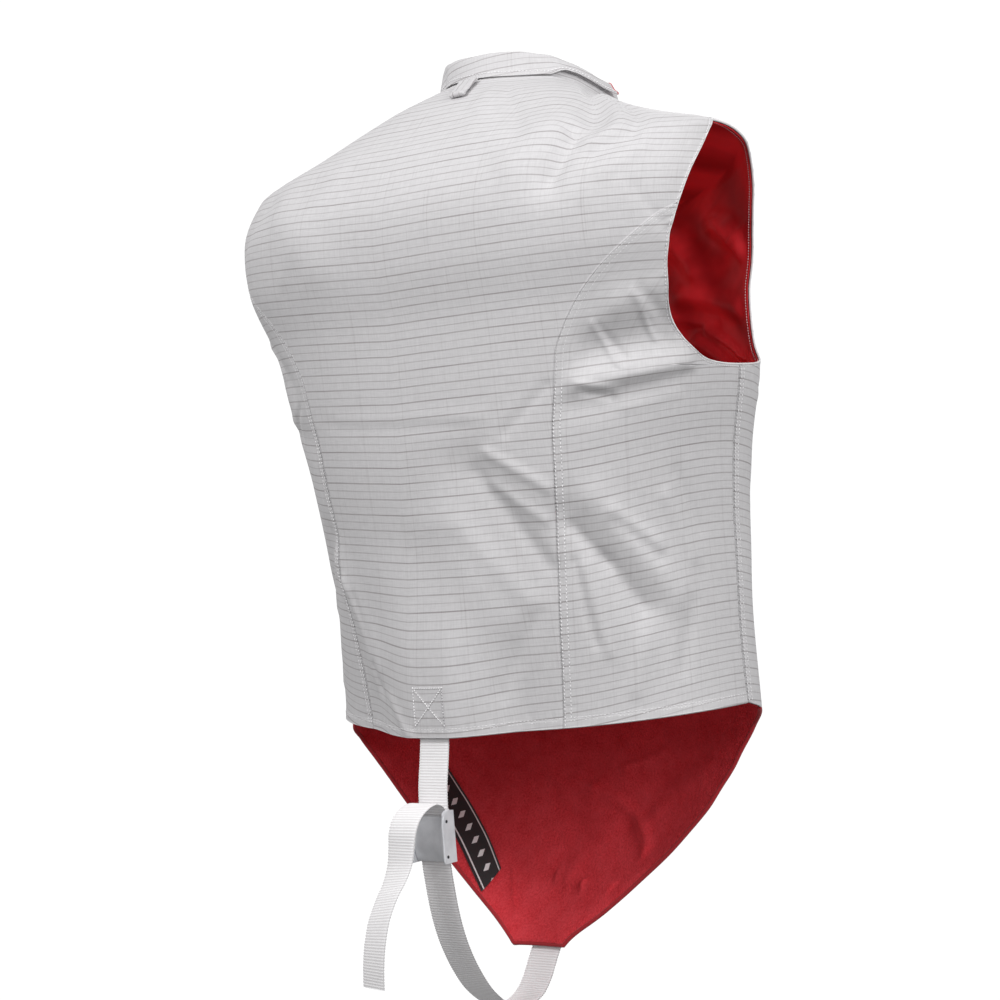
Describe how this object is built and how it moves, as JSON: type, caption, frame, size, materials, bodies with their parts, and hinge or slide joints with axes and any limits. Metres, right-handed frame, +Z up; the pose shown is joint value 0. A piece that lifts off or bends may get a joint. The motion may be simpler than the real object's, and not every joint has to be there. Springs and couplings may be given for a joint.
{
  "type": "fencing lame",
  "caption": "Sleeveless fencing lame in its worn, hollow form: stand collar, front zip, pointed front flap, and a webbing crotch strap held by a cam buckle at the back.",
  "frame": {"origin": "middle of the neck opening at shoulder height", "axes": "+Z up along the worn garment, -Y to the wearer's front, +X to the wearer's left"},
  "size_m": [0.4448, 0.3482, 0.7514],
  "materials": {
    "conductive_cloth": "woven, with a slight metallic sheen",
    "red_lining": "satin at the armholes, brushed in the flap",
    "white_webbing": "ribbed webbing",
    "buckle_metal": "dull nickel",
    "zip_metal": "plain metal",
    "black_label": "woven label"
  },
  "bodies": {
    "garment": {"back_centre": "conductive_cloth", "back_side_left": "conductive_cloth", "back_side_right": "conductive_cloth", "front_left": "conductive_cloth", "front_right": "conductive_cloth", "collar_stand": "conductive_cloth", "collar_turn": "conductive_cloth", "contact_tab": "conductive_cloth", "lining_back_centre": "red_lining", "lining_back_side_left": "red_lining", "lining_back_side_right": "red_lining", "lining_front_left": "red_lining", "lining_front_right": "red_lining", "strap_back": "white_webbing", "strap_loop": "white_webbing", "buckle_base": "buckle_metal", "buckle_cheek_left": "buckle_metal", "buckle_cheek_right": "buckle_metal", "buckle_lever": "buckle_metal", "zip_chain": "zip_metal", "zip_slider": "zip_metal", "size_label": "black_label"},
    "pull": {"zip_pull": "zip_metal"}
  },
  "joints": [
    {"name": "pull_swing", "type": "hinge", "parent": "garment", "child": "pull", "pos_m": [-0.04783, -0.10035, -0.06239], "axis": [-0.9835, 0.1758, 0.0417], "range_deg": [0, 150]}
  ]
}
